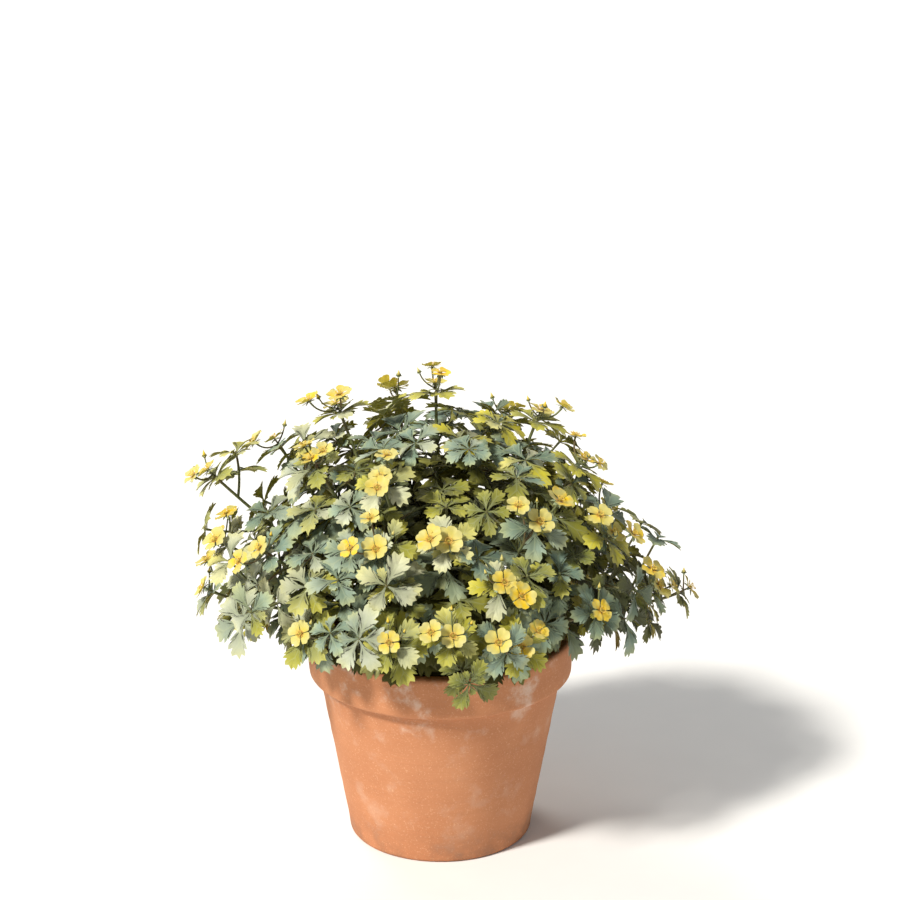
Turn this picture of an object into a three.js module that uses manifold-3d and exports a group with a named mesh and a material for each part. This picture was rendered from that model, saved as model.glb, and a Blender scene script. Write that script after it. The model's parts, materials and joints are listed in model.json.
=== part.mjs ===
// Tormentil in a clay pot: a low mound of leafy stems, each ending in a spray of four-petalled yellow
// blooms, standing in plain holes in the potting soil. Millimetres, +Z up, and the origin is the middle
// of the pot's flat foot. -Y is the plant's front.
import * as THREE from "three";
import { mergeVertices } from "three/addons/utils/BufferGeometryUtils.js";
import Module from "manifold-3d";

const wasm = await Module();
wasm.setup();

// Driving sizes
const pot = {
  height: 105,
  rimRadius: 66,
  rimHeight: 21,
  mouthRadius: 59,
  neckRadius: 60,
  baseRadius: 45,
  innerBaseRadius: 38.5,
  floor: 6,
  edge: 1.5,
  sides: 24,
  drainRadius: 5,
  drainCircle: 23,
  drains: 3,
};
const soil = { top: 93, lump: 1.6, gap: 0.3 };
const mound = { reach: 112, depth: 94, rise: 128 };
const stem = {
  sides: 5,
  rootRadius: 1.2,
  tipRadius: 0.85,
  depth: 12,
  crown: 6,
  rootSpread: 0.3,
  whorls: 3,
  apart: 0.75,
};
const hole = { halfWidth: 1.75, clearance: 0.4, above: 8 };
const sideShoot = { sides: 4, radius: 0.8, taper: 0.8, reach: 32, apart: 0.2, shorter: 0.4, inner: 0.58 };
const leaf = {
  length: 18,
  widthShare: 0.7,
  growth: 1.15,
  hub: 1,
  thickness: 1.1,
  droop: 0.34,
  fold: 0.16,
  lift: 18,
};
const bloom = { radius: 6.6, hub: 0.9, cup: 14, centre: 1.3, notch: 0.8 };
const spray = { sides: 4, radius: 0.62, gap: 0.3, neck: 5, fork: 0.3, pedicel: 14 };
const clearance = 0.35;

// One entry for each stem: where its topmost leaves stand, from the middle of the soil's surface, how
// many blooms its spray carries, and which way each side shoot leans, in degrees round the stem.
const stems = [
  { tip: [-108, 0, 90], blooms: 2, leans: [-70, 120] },
  { tip: [-102, -12, 60], blooms: 3, leans: [75] },
  { tip: [-110, -8, 34], blooms: 2, leans: [40] },
  { tip: [-62, -64, 34], blooms: 1, leans: [60] },
  { tip: [-80, -42, 66], blooms: 2, leans: [-80] },
  { tip: [-22, -84, 38], blooms: 1, leans: [85] },
  { tip: [-28, -68, 76], blooms: 3, leans: [100, -70] },
  { tip: [6, -86, 42], blooms: 2, leans: [-70] },
  { tip: [36, -84, 36], blooms: 3, leans: [80] },
  { tip: [28, -74, 62], blooms: 2, leans: [-90] },
  { tip: [72, -56, 42], blooms: 1, leans: [130] },
  { tip: [100, -26, 42], blooms: 3, leans: [60] },
  { tip: [116, -4, 32], blooms: 1, leans: [75] },
  { tip: [78, -36, 72], blooms: 3, leans: [-80] },
  { tip: [66, -8, 98], blooms: 3, leans: [70] },
  { tip: [46, 0, 118], blooms: 2, leans: [-60] },
  { tip: [4, -69, 80], blooms: 2, leans: [90] },
  { tip: [-2, 14, 128], blooms: 3, leans: [180] },
  { tip: [-48, 8, 120], blooms: 3, leans: [-90] },
  { tip: [-58, -20, 102], blooms: 3, leans: [80] },
  { tip: [-26, -48, 102], blooms: 3, leans: [-75] },
  { tip: [44, -56, 84], blooms: 3, leans: [70] },
  { tip: [-78, 22, 98], blooms: 2, leans: [-80, 80] },
  { tip: [-21, 50, 113], blooms: 2, leans: [75, -80] },
  { tip: [32, 50, 102], blooms: 2, leans: [-70, 80] },
  { tip: [80, 40, 56], blooms: 2, leans: [80, -80] },
  { tip: [16, 86, 44], blooms: 2, leans: [-80] },
  { tip: [-62, 64, 36], blooms: 2, leans: [70] },
];

const up = new THREE.Vector3(0, 0, 1);
const green = new THREE.MeshStandardMaterial({ color: 0x5f7f62, roughness: 0.7, metalness: 0 });
const yellow = new THREE.MeshStandardMaterial({ color: 0xf2cf1d, roughness: 0.6, metalness: 0 });
const clay = new THREE.MeshStandardMaterial({ color: 0xb5643c, roughness: 0.85, metalness: 0 });
const earth = new THREE.MeshStandardMaterial({ color: 0x3a2a1e, roughness: 1, metalness: 0 });

// A steady draw between 0 and 1 for a stem and an item on it.
const draw = (index, item) => {
  const wave = Math.sin(index * 12.9898 + item * 78.233) * 43758.5453;
  return wave - Math.floor(wave);
};
const radians = THREE.MathUtils.degToRad;
const mix = (low, high, share) => low + (high - low) * share;

// Closed solids

function solidOf(geometry) {
  const bare = geometry.index ? geometry.toNonIndexed() : geometry.clone();
  bare.deleteAttribute("normal");
  bare.deleteAttribute("uv");
  const merged = mergeVertices(bare, 1e-4);
  return new wasm.Manifold(
    new wasm.Mesh({
      numProp: 3,
      vertProperties: merged.attributes.position.array,
      triVerts: new Uint32Array(merged.index.array),
    }),
  );
}

function geometryOf(solid) {
  const mesh = solid.getMesh();
  const geometry = new THREE.BufferGeometry();
  geometry.setAttribute("position", new THREE.BufferAttribute(new Float32Array(mesh.vertProperties), 3));
  geometry.setIndex(new THREE.BufferAttribute(new Uint32Array(mesh.triVerts), 1));
  geometry.computeVertexNormals();
  return geometry;
}

function geometryOfTriangles(triangles) {
  const geometry = new THREE.BufferGeometry();
  geometry.setFromPoints(triangles.flat());
  return geometry;
}

// Whether two triangles cross: an edge of one passes through the other.
function edgeThrough(from, to, [a, b, c]) {
  const ray = to.clone().sub(from);
  const ab = b.clone().sub(a);
  const ac = c.clone().sub(a);
  const across = ray.clone().cross(ac);
  const volume = ab.dot(across);
  if (Math.abs(volume) < 1e-12) return false;
  const offset = from.clone().sub(a);
  const u = offset.dot(across) / volume;
  if (u < 0 || u > 1) return false;
  const turned = offset.cross(ab);
  const v = ray.dot(turned) / volume;
  if (v < 0 || u + v > 1) return false;
  const distance = ac.dot(turned) / volume;
  return distance >= 0 && distance <= 1;
}

function trianglesCross(first, second) {
  for (let i = 0; i < 3; i += 1) {
    if (edgeThrough(first[i], first[(i + 1) % 3], second)) return true;
    if (edgeThrough(second[i], second[(i + 1) % 3], first)) return true;
  }
  return false;
}

// What is placed already: lists of triangles with the boxes round them.
const placed = [];
const boxOf = (triangles) => new THREE.Box3().setFromPoints(triangles.flat());

function place(triangles, owner) {
  placed.push({ owner, box: boxOf(triangles), faces: triangles.map((t) => ({ t, box: boxOf([t]) })) });
}

function isClear(triangles, ...ignored) {
  const box = boxOf(triangles);
  const near = placed.filter((other) => !ignored.includes(other.owner) && other.box.intersectsBox(box));
  return !triangles.some((triangle) => {
    const around = boxOf([triangle]);
    return near.some((other) =>
      other.faces.some((face) => face.box.intersectsBox(around) && trianglesCross(triangle, face.t)),
    );
  });
}

// Stalks: tubes with few sides, whose rings follow a curve and turn a little from whorl to whorl

class Stalk {
  constructor({ curve, across, sides, radii, stops, owner, hub }) {
    Object.assign(this, { curve, across, sides, radii, owner });
    this.length = curve.getLength();
    this.levels = [];
    for (const stop of stops) {
      if (stop.whorl) {
        const half = hub / 2 / this.length;
        stop.whorl.lower = this.ring(stop.at - half, stop.turn);
        stop.whorl.upper = this.ring(stop.at + half, stop.turn);
        stop.whorl.blades = [];
        this.levels.push({ ring: stop.whorl.lower }, { ring: stop.whorl.upper, whorl: stop.whorl });
      } else {
        this.levels.push({ ring: this.ring(stop.at, stop.turn) });
      }
    }
  }

  // The ring's corners and its own directions; before 0 and past 1 the curve runs on straight.
  ring(at, turn = 0) {
    const inside = THREE.MathUtils.clamp(at, 0, 1);
    const axis = this.curve.getTangent(inside);
    const centre = this.curve.getPoint(inside).addScaledVector(axis, (at - inside) * this.length);
    const right = this.across.clone().addScaledVector(axis, -this.across.dot(axis)).normalize();
    const front = axis.clone().cross(right);
    const radius = mix(this.radii[0], this.radii[1], inside);
    const toward = (angle) =>
      right.clone().multiplyScalar(Math.cos(angle)).addScaledVector(front, Math.sin(angle));
    const step = (2 * Math.PI) / this.sides;
    const corners = Array.from({ length: this.sides }, (_, k) =>
      centre.clone().addScaledVector(toward(turn + k * step), radius),
    );
    return { axis, centre, corners, toward: (k) => toward(turn + (k + 0.5) * step) };
  }

  // Where a blade on one side of a whorl starts, and how a point of its outline is placed from there.
  frameFor(whorl, side, lift, droop, fold) {
    const out = whorl.upper.toward(side);
    const axis = whorl.upper.axis;
    const along = axis.clone().cross(out);
    const next = (side + 1) % this.sides;
    const corners = {
      upperFrom: whorl.upper.corners[side],
      upperTo: whorl.upper.corners[next],
      lowerFrom: whorl.lower.corners[side],
      lowerTo: whorl.lower.corners[next],
    };
    const start = corners.upperFrom.clone().add(corners.upperTo);
    start.add(corners.lowerFrom).add(corners.lowerTo).multiplyScalar(0.25);
    const point = (x, y, length, above = 0) =>
      start
        .clone()
        .addScaledVector(out, x * Math.cos(lift))
        .addScaledVector(along, y)
        .addScaledVector(axis, x * Math.sin(lift) - (droop * x * x) / length + fold * Math.abs(y) + above);
    return { ...corners, point };
  }

  // A leaflet: a thin arched blade, thickest along its rib, or a plain wedge on the inner whorls. One
  // grown to test its clearance is a little longer, wider and thicker.
  leaflet(whorl, side, { length, lift, grow = 0 }) {
    const frame = this.frameFor(whorl, side, lift, leaf.droop, leaf.fold);
    const long = length + grow;
    const wide = length * leaf.widthShare + grow;
    const shape = whorl.plain ? plainOutline : leafOutline;
    const outlineAt = (above) =>
      shape.map(([x, y]) => frame.point(x * long, y * wide, length, above));
    const heights = grow ? [grow, -grow] : [0];
    if (whorl.plain) return heights.flatMap((above) => this.wedge(frame, outlineAt(above)));
    const outline = outlineAt(0);
    const half = leaf.thickness / 2 + grow / 2;
    const ribTop = frame.point(leafRib * length, 0, length, half);
    const ribUnder = frame.point(leafRib * length, 0, length, -half);
    const upper = [frame.upperFrom, ...outline, frame.upperTo];
    const lower = [frame.lowerFrom, ...outline, frame.lowerTo];
    const faces = [];
    upper.forEach((corner, i) => {
      const next = (i + 1) % upper.length;
      faces.push([ribTop, corner, upper[next]], [ribUnder, lower[next], lower[i]]);
    });
    faces.push([frame.upperFrom, frame.lowerFrom, outline[0]]);
    faces.push([frame.lowerTo, frame.upperTo, outline.at(-1)]);
    return faces;
  }

  // A petal: a thin heart-shaped wedge.
  petal(whorl, side, { radius, lift }) {
    const frame = this.frameFor(whorl, side, lift, 0, 0);
    const outline = petalOutline.map(([x, y]) => frame.point(x * radius, y * radius, radius));
    return this.wedge(frame, outline);
  }

  // A blade with three points to its outline, thickest where it leaves the stalk.
  wedge(frame, [first, middle, last]) {
    const face = (from, to) => [
      [from, first, middle],
      [from, middle, to],
      [to, middle, last],
    ];
    return [
      ...face(frame.upperFrom, frame.upperTo),
      ...face(frame.lowerFrom, frame.lowerTo).map(([a, b, c]) => [a, c, b]),
      [frame.upperFrom, frame.lowerFrom, first],
      [frame.lowerTo, frame.upperTo, last],
    ];
  }

  // Every face of the stalk: its sides, the blades on its whorls, and its two ends.
  faces(peak = 0) {
    const made = [];
    this.levels.slice(1).forEach((level, i) => {
      const below = this.levels[i].ring.corners;
      const above = level.ring.corners;
      for (let k = 0; k < this.sides; k += 1) {
        const next = (k + 1) % this.sides;
        const blade = level.whorl?.blades[k];
        if (blade) made.push(...blade);
        else made.push([below[k], below[next], above[next]], [below[k], above[next], above[k]]);
      }
    });
    const first = this.levels[0].ring.corners;
    const last = this.levels.at(-1).ring;
    for (let k = 1; k < this.sides - 1; k += 1) {
      made.push([first[0], first[k + 1], first[k]]);
      if (!peak) made.push([last.corners[0], last.corners[k], last.corners[k + 1]]);
    }
    if (!peak) return made;
    const top = last.centre.clone().addScaledVector(last.axis, peak);
    last.corners.forEach((corner, k) => made.push([corner, last.corners[(k + 1) % this.sides], top]));
    return made;
  }

  tubeFaces() {
    const whorls = this.levels.filter((level) => level.whorl);
    const blades = whorls.map((level) => level.whorl.blades);
    whorls.forEach((level) => (level.whorl.blades = []));
    const made = this.faces();
    whorls.forEach((level, i) => (level.whorl.blades = blades[i]));
    return made;
  }
}

// Outlines in shares of a blade's length and width, from its left side to its right
const leafRib = 0.5;
const leafOutline = [
  [0.68, -0.5],
  [0.76, -0.25],
  [1, 0],
  [0.76, 0.25],
  [0.68, 0.5],
];
const plainOutline = [
  [0.66, -0.5],
  [1, 0],
  [0.66, 0.5],
];
const petalOutline = [
  [0.9, -0.5],
  [bloom.notch, 0],
  [0.9, 0.5],
];

// Pot and soil

function lathe(profile) {
  const points = profile.map(([radius, height]) => new THREE.Vector2(radius, height));
  return new THREE.LatheGeometry(points, pot.sides).rotateX(Math.PI / 2);
}

function makePot() {
  const rimFoot = pot.height - pot.rimHeight;
  const body = solidOf(
    lathe([
      [0, 0],
      [pot.baseRadius - pot.edge, 0],
      [pot.baseRadius, pot.edge],
      [pot.neckRadius, rimFoot],
      [pot.rimRadius - 2 * pot.edge, rimFoot],
      [pot.rimRadius - pot.edge, rimFoot + pot.edge],
      [pot.rimRadius, pot.height - pot.edge],
      [pot.rimRadius - pot.edge, pot.height],
      [pot.mouthRadius + pot.edge, pot.height],
      [pot.mouthRadius, pot.height - pot.edge],
      [pot.innerBaseRadius, pot.floor],
      [0, pot.floor],
    ]),
  );
  const drains = Array.from({ length: pot.drains }, (_, i) => {
    const angle = (2 * Math.PI * i) / pot.drains + Math.PI / 6;
    const drill = new THREE.CylinderGeometry(pot.drainRadius, pot.drainRadius, 3 * pot.floor, 8);
    drill.rotateX(Math.PI / 2);
    drill.translate(pot.drainCircle * Math.cos(angle), pot.drainCircle * Math.sin(angle), 0);
    return solidOf(drill);
  });
  return body.subtract(wasm.Manifold.union(drains));
}

const innerRadiusAt = (height) =>
  mix(
    pot.innerBaseRadius,
    pot.mouthRadius,
    (height - pot.floor) / (pot.height - pot.edge - pot.floor),
  );

// How far the soil's surface stands above or below its level there.
const lumpAt = (x, y) =>
  soil.lump * (Math.sin(x * 0.21 + 1.3) * Math.cos(y * 0.17) + 0.6 * Math.sin(x * 0.09 - y * 0.26));

function makeSoil(stalks) {
  const bottom = pot.floor + soil.gap;
  const rim = innerRadiusAt(soil.top) - soil.gap;
  const geometry = lathe([
    [0, bottom],
    [innerRadiusAt(bottom) - soil.gap, bottom],
    [rim, soil.top],
    [rim * 0.55, soil.top],
    [0, soil.top],
  ]);
  const position = geometry.attributes.position;
  for (let i = 0; i < position.count; i += 1) {
    const [x, y, z] = [position.getX(i), position.getY(i), position.getZ(i)];
    if (z > bottom + 1 && Math.hypot(x, y) < rim * 0.9) position.setZ(i, z + lumpAt(x, y));
  }
  const holes = stalks.map((stalk) => {
    const axis = stalk.curve.getTangent(0);
    const reach = stem.depth + hole.clearance + hole.above;
    const prism = new THREE.BoxGeometry(2 * hole.halfWidth, reach, 2 * hole.halfWidth);
    prism.applyQuaternion(new THREE.Quaternion().setFromUnitVectors(new THREE.Vector3(0, 1, 0), axis));
    const middle = stalk.curve.getPoint(0).addScaledVector(axis, hole.above - reach / 2);
    prism.translate(middle.x, middle.y, middle.z);
    return solidOf(prism);
  });
  return solidOf(geometry).subtract(wasm.Manifold.union(holes));
}

// Stems

// The way out of the mound's surface at a point, tipped up a little.
function outwardAt([x, y, z]) {
  const out = new THREE.Vector3(x / mound.reach ** 2, y / mound.depth ** 2, z / mound.rise ** 2);
  return out.normalize().addScaledVector(up, 0.3).normalize();
}

// Low stems root near the pot's wall and tall ones near its middle.
function stemCurve({ tip }, rootTurn) {
  const top = new THREE.Vector3(...tip);
  const flat = new THREE.Vector3(top.x, top.y, 0);
  const rootRadius = stem.crown + stem.rootSpread * flat.length() * (1.25 - (0.8 * top.z) / mound.rise);
  const root = flat.clone().setLength(rootRadius).applyAxisAngle(up, radians(rootTurn));
  const span = top.distanceTo(root);
  const leaving = flat.clone().multiplyScalar(0.6 / mound.reach).add(up).normalize();
  const arriving = outwardAt(tip);
  const lift = new THREE.Vector3(0, 0, soil.top);
  return new THREE.CubicBezierCurve3(
    root.clone().add(lift),
    root.clone().addScaledVector(leaving, 0.42 * span).add(lift),
    top.clone().addScaledVector(arriving, -0.34 * span).add(lift),
    top.clone().add(lift),
  );
}

// A vector square to the plane that a curve bends in, or to a straight curve.
function acrossOf(curve) {
  const across = curve.getTangent(0).cross(curve.getTangent(1));
  if (across.length() < 0.02) across.copy(curve.getTangent(0)).cross(new THREE.Vector3(1, 0.2, 0));
  return across.normalize();
}

const whorlTurn = Math.PI / stem.sides;

function stemWith(entry, index, rootTurn, grow = 0) {
  const curve = stemCurve(entry, rootTurn);
  const length = curve.getLength();
  const lowest = mix(0.46, 0.54, draw(index, 1));
  const whorls = Array.from({ length: stem.whorls }, (_, i) => {
    const last = stem.whorls - 1;
    const shift = i < last ? mix(-0.08, 0.08, draw(index, 2 + i)) : 0;
    return {
      at: mix(lowest, 1, i / last) + shift,
      turn: i * whorlTurn,
      whorl: { size: mix(0.92, 1.06, draw(index, 10 + i)) * leaf.growth ** (last - i), plain: i === 0 },
    };
  });
  return new Stalk({
    curve,
    across: acrossOf(curve),
    sides: stem.sides,
    radii: [stem.rootRadius + grow, stem.tipRadius + grow],
    owner: `stem ${index}`,
    hub: leaf.hub,
    stops: [{ at: -stem.depth / length }, { at: 0 }, { at: lowest / 2 }, ...whorls],
  });
}

const rootTries = [0, 7, -7, 14, -14, 21, -21, 28, -28, 36, -36, 44, -44, 55, -55];

function makeStem(entry, index) {
  const turn = rootTries.find((one) => isClear(stemWith(entry, index, one, stem.apart).tubeFaces()));
  if (turn === undefined) throw new Error(`stem ${index} crosses another`);
  const stalk = stemWith(entry, index, turn);
  place(stalk.tubeFaces(), stalk.owner);
  return stalk;
}

const sideTries = [0, 25, -25, 50, -50, 80, -80, 120, -120, 160];

// A side shoot leaves the stem between two whorls, the lower ones first, and ends in a smaller whorl.
function makeSideShoot(index, item, parent) {
  const at = mix(0.6, 0.68, draw(index, 6)) + item * sideShoot.apart;
  const start = parent.curve.getPoint(at);
  const axis = parent.curve.getTangent(at);
  const outward = outwardAt(start.clone().setZ(start.z - soil.top).toArray());
  const reach = sideShoot.reach * mix(0.85, 1.15, draw(index, 7 + item)) * (1 - item * sideShoot.shorter);
  const size = mix(0.85, 1.05, draw(index, 13 + item));
  const grownAt = (turn) => {
    const lean = radians(stems[index].leans[item] + turn);
    const toward = parent.ring(at, lean).corners[0].sub(start).normalize();
    const curve = new THREE.QuadraticBezierCurve3(
      start,
      start.clone().addScaledVector(toward, reach * 0.55).addScaledVector(axis, reach * 0.35),
      start.clone().addScaledVector(toward, reach * 0.85).addScaledVector(outward, reach * 0.8),
    );
    return new Stalk({
      curve,
      across: acrossOf(curve),
      sides: sideShoot.sides,
      radii: [sideShoot.radius, sideShoot.radius * sideShoot.taper],
      owner: `shoot ${index} ${item}`,
      hub: leaf.hub,
      stops: [{ at: 0 }, { at: sideShoot.inner, whorl: { size, plain: true } }, { at: 1, whorl: { size } }],
    });
  };
  const shoot = sideTries.map(grownAt).find((one) => isClear(one.tubeFaces(), parent.owner));
  if (shoot) place(shoot.tubeFaces(), shoot.owner);
  return shoot;
}

// The ways a leaflet is bent clear of its neighbours, the plain one first
const leafTries = [
  { bend: 0, size: 1 },
  { bend: 16, size: 1 },
  { bend: -16, size: 1 },
  { bend: 30, size: 0.9 },
  { bend: -30, size: 0.9 },
  { bend: 0, size: 0.72 },
  { bend: 26, size: 0.72 },
  { bend: -26, size: 0.72 },
];

function growLeaflets(stalk, whorl, index, item) {
  const owner = `whorl ${index} ${item}`;
  const bigSide = Math.floor(draw(index, item) * stalk.sides);
  for (let side = 0; side < stalk.sides; side += 1) {
    const apart = (2 * Math.PI * (side - bigSide)) / stalk.sides;
    const size = whorl.size * mix(0.78, 1, (1 + Math.cos(apart)) / 2);
    const lift = radians(leaf.lift + mix(-8, 8, draw(index, item * 10 + side)));
    const blade = (grow, way) =>
      stalk.leaflet(whorl, side, {
        length: leaf.length * size * way.size,
        lift: lift + radians(way.bend),
        grow,
      });
    const way = leafTries.find((one) => isClear(blade(clearance, one), stalk.owner));
    if (!way) continue;
    whorl.blades[side] = blade(0, way);
  }
  whorl.blades.filter(Boolean).forEach((blade) => place(blade, owner));
}

// A spray: a short neck with a bloom on it, and one or two longer pedicels from its side
const sprayTries = [1, 0.8, 1.2, 0.62].flatMap((share) =>
  [0, 24, -24, 48, -48, 72, -72, 96, -96, 130, -130, 170].map((turn) => ({ turn, share })),
);

function makeBloomStalk(curve, index, item, radius) {
  const stalk = new Stalk({
    curve,
    across: acrossOf(curve),
    sides: spray.sides,
    radii: [spray.radius, spray.radius],
    owner: `bloom ${index} ${item}`,
    hub: bloom.hub,
    stops: [{ at: 0 }, { at: 1, whorl: {} }],
  });
  const whorl = stalk.levels.at(-1).whorl;
  const lift = radians(mix(bloom.cup - 8, bloom.cup + 8, draw(index, item)));
  for (let side = 0; side < spray.sides; side += 1)
    whorl.blades[side] = stalk.petal(whorl, side, { radius, lift });
  return stalk;
}

function placeBloomStalk(stalk) {
  place(stalk.tubeFaces(), stalk.owner);
  place(stalk.levels.at(-1).whorl.blades.flat(), `${stalk.owner} petals`);
}

// Bloom stalks of one spray share their start, and stay clear of each other's petals.
function makeSpray(entry, index, parent) {
  const axis = parent.curve.getTangent(1);
  const base = parent.curve.getPoint(1).addScaledVector(axis, leaf.hub / 2 + spray.gap);
  const neckLength = spray.neck * mix(0.8, 1.3, draw(index, 20));
  const neckTop = base.clone().addScaledVector(axis, neckLength);
  const neckBloom = bloom.radius * mix(0.85, 1.15, draw(index, 22));
  const stalks = [makeBloomStalk(new THREE.LineCurve3(base, neckTop), index, 21, neckBloom)];
  placeBloomStalk(stalks[0]);
  const fork = base.clone().addScaledVector(axis, neckLength * spray.fork);
  const rising = up.clone().multiplyScalar(0.35).add(axis).normalize();
  for (let i = 1; i < entry.blooms; i += 1) {
    const plain = draw(index, 23) * 360 + i * mix(140, 180, draw(index, 24));
    const radius = bloom.radius * mix(0.75, 1.05, draw(index, 30 + i));
    const reach = spray.pedicel * mix(0.75, 1.15, draw(index, 25 + i));
    const grownAt = ({ turn, share }) => {
      const { corners, centre } = parent.ring(1, radians(plain + turn));
      const toward = corners[0].sub(centre).multiplyScalar(reach * share / parent.radii[1]);
      const curve = new THREE.QuadraticBezierCurve3(
        fork,
        fork.clone().addScaledVector(toward, 0.62),
        fork.clone().addScaledVector(toward, 0.8).addScaledVector(rising, reach * share * 0.6),
      );
      return makeBloomStalk(curve, index, 33 + i, radius);
    };
    const tubes = stalks.map((one) => one.owner);
    const found = sprayTries.map(grownAt).find((stalk) => {
      const petals = stalk.levels.at(-1).whorl.blades.flat();
      return isClear(stalk.faces(bloom.centre), ...tubes) && isClear(petals);
    });
    if (!found) continue;
    placeBloomStalk(found);
    stalks.push(found);
  }
  return stalks;
}

// The whole plant: stalks first, then the sprays, then leaflets from the outside in

const facesOf = (solid) => {
  const { position } = geometryOf(solid).toNonIndexed().attributes;
  const point = (i) => new THREE.Vector3().fromBufferAttribute(position, i);
  const corners = Array.from({ length: position.count }, (_, i) => point(i));
  return Array.from({ length: corners.length / 3 }, (_, i) => corners.slice(3 * i, 3 * i + 3));
};
const potSolid = makePot();
place(facesOf(potSolid), "pot");
const mainStalks = stems.map(makeStem);
const soilSolid = makeSoil(mainStalks);
place(facesOf(soilSolid), "soil");
const sprays = stems.map((entry, index) => makeSpray(entry, index, mainStalks[index]));
const sideShoots = stems.map(({ leans }, index) =>
  leans.map((_, item) => makeSideShoot(index, item, mainStalks[index])).filter(Boolean),
);
const whorlsOf = (stalk) => stalk.levels.filter((level) => level.whorl).map((level) => level.whorl);
for (let depth = 1; depth <= stem.whorls; depth += 1) {
  mainStalks.forEach((stalk, index) => growLeaflets(stalk, whorlsOf(stalk).at(-depth), index, 40 + depth));
  if (depth > 1) continue;
  sideShoots.forEach((shoots, index) =>
    shoots.forEach((shoot, i) => growLeaflets(shoot, whorlsOf(shoot)[1], index, 50 + i)),
  );
}
sideShoots.forEach((shoots, index) =>
  shoots.forEach((shoot, i) => growLeaflets(shoot, whorlsOf(shoot)[0], index, 60 + i)),
);

const part = new THREE.Group();
function add(name, solid, material) {
  const mesh = new THREE.Mesh(geometryOf(solid), material);
  mesh.name = name;
  part.add(mesh);
}

const numbered = (name, index) => `${name}_${String(index + 1).padStart(2, "0")}`;
const joined = (stalks, peak) =>
  wasm.Manifold.union(stalks.map((stalk) => solidOf(geometryOfTriangles(stalk.faces(peak)))));

add("clay_pot", potSolid, clay);
add("potting_soil", soilSolid, earth);
mainStalks.forEach((stalk, index) => {
  add(numbered("leafy_stem", index), joined([stalk, ...sideShoots[index]], 0), green);
  add(numbered("flower_spray", index), joined(sprays[index], bloom.centre), yellow);
});

export default part;
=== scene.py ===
# Tormentil in a clay pot: the finish of every piece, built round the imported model.
import json
from math import copysign, cos, exp, floor, hypot, pi, radians, sin, sqrt

import bmesh
import bpy
import numpy as np
from mathutils import Matrix, Vector, noise
from mathutils.kdtree import KDTree

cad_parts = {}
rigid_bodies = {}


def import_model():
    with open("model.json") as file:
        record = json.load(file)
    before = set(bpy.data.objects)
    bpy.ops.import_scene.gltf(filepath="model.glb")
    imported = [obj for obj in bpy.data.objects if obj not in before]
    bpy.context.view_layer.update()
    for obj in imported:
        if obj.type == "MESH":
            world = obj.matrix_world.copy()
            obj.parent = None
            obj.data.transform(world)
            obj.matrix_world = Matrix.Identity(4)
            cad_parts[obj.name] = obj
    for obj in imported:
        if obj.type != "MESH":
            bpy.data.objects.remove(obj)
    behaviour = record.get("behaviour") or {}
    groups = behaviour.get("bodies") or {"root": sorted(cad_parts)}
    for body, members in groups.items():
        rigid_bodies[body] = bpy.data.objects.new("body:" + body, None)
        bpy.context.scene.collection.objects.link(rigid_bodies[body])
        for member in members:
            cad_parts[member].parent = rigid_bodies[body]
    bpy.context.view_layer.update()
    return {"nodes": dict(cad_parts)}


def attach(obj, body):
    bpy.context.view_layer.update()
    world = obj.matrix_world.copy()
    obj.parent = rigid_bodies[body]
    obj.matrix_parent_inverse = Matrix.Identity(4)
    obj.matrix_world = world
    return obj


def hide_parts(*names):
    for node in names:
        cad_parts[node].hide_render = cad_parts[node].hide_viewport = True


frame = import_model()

# Sizes are in millimetres here, as in the part's source, and meshes are made in metres.
metre = 1000.0
up = Vector((0, 0, 1))
goldenAngle = 2.399963


def draw(index, item):  # a steady draw between 0 and 1
    wave = sin(index * 12.9898 + item * 78.233) * 43758.5453
    return wave - floor(wave)


def mix(low, high, share):
    return low + (high - low) * share


def vary(span, index, item):  # a steady draw within a span
    return mix(*span, draw(index, item))


def ease(low, high, value):
    share = min(max((value - low) / (high - low), 0), 1)
    return share * share * (3 - 2 * share)


def polar(radius, angle):
    return radius * cos(angle), radius * sin(angle)


def turns(count):
    return [2 * pi * k / count for k in range(count)]


def fan(right, front, angle):  # a way in the plane of two others
    return right * cos(angle) + front * sin(angle)


def shown(name, data):
    piece = bpy.data.objects.new(name, data)
    bpy.context.scene.collection.objects.link(piece)
    return piece


def handOver(piece, replaced=None):
    if replaced:
        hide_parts(replaced)
    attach(piece, "root")


# Finishes: shader maths as plain expressions on sockets
class Wire:  # a node's output
    def __init__(self, finish, socket):
        self.finish = finish
        self.socket = socket

    def maths(self, operation, first, second):
        return self.finish.node("ShaderNodeMath", {"operation": operation}, {0: first, 1: second})

    def __add__(self, other):
        return self.maths("ADD", self, other)
    __radd__ = __add__

    def __sub__(self, other):
        return self.maths("SUBTRACT", self, other)

    def __rsub__(self, other):
        return self.maths("SUBTRACT", other, self)

    def __mul__(self, other):
        return self.maths("MULTIPLY", self, other)
    __rmul__ = __mul__

    def part(self, index):  # one number of a vector
        return self.finish.node("ShaderNodeSeparateXYZ", {}, {0: self}, index)

    def between(self, low, high, toHigh=1.0, toLow=0.0):
        sockets = {0: self, 1: low, 2: high, 3: toLow, 4: toHigh}
        return self.finish.node("ShaderNodeMapRange", {"interpolation_type": "SMOOTHSTEP"}, sockets)


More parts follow.
